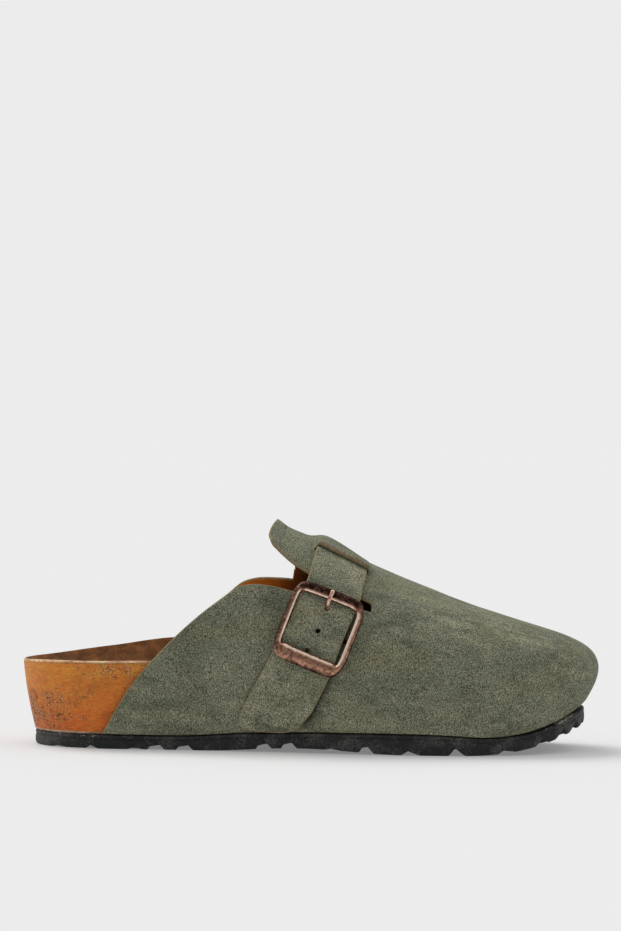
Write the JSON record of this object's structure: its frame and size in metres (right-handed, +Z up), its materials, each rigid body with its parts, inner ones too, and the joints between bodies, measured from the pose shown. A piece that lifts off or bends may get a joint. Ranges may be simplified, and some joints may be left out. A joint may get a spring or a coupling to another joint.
{
  "type": "cork sole slipper",
  "caption": "Backless clog slipper with a grey-green nubuck upper, a buckled instep strap, a bare cork heel and a black lugged sole, right foot.",
  "frame": {"origin": "middle of the underside of the bounding box, on the floor", "axes": "+X from heel to toe, +Y to the inner side of the foot, +Z up"},
  "size_m": [0.272, 0.1062, 0.1069],
  "materials": {
    "outsole_rubber": "matte black moulded sole",
    "cork": "sealed pressed cork granules",
    "suede_lining": "brown suede",
    "nubuck": "worn grey-green nubuck",
    "aged_copper": "aged copper plating, rubbed bright on the edges"
  },
  "bodies": {
    "root": {"outsole": "outsole_rubber", "cork_footbed": "cork", "footbed_lining": "suede_lining", "upper": "nubuck", "strap": "nubuck", "buckle_frame": "aged_copper", "buckle_prong": "aged_copper"}
  },
  "joints": []
}
